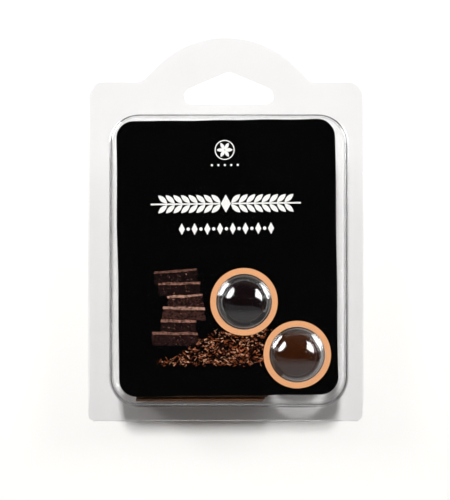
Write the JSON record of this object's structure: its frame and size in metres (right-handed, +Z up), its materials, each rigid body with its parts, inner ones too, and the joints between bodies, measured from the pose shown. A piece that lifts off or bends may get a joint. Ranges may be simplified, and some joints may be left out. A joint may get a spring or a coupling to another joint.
{
  "type": "clear clamshell pack of chocolate balls",
  "caption": "Shut clear clamshell pack with a hang tab, a printed black card with round windows, and glossy chocolate balls under low clear domes, lying on its back.",
  "frame": {"origin": "middle of the pack's rectangle, on the surface that the tray stands on", "axes": "+Z up out of the lid, +Y towards the hang tab, X across the pack"},
  "size_m": [0.0984, 0.138, 0.0214],
  "materials": {
    "clear_sheet": "thermoformed clear polyester sheet, glossy",
    "printed_card": "coated board printed black",
    "dark_chocolate": "smooth glossy shell",
    "milk_chocolate": "smooth glossy shell",
    "brown_paper": "uncoated brown paper"
  },
  "bodies": {
    "root": {"clamshell": "clear_sheet", "label_card": "printed_card", "ball_upper": "dark_chocolate", "ball_lower": "milk_chocolate", "paper_slip": "brown_paper"}
  },
  "joints": []
}
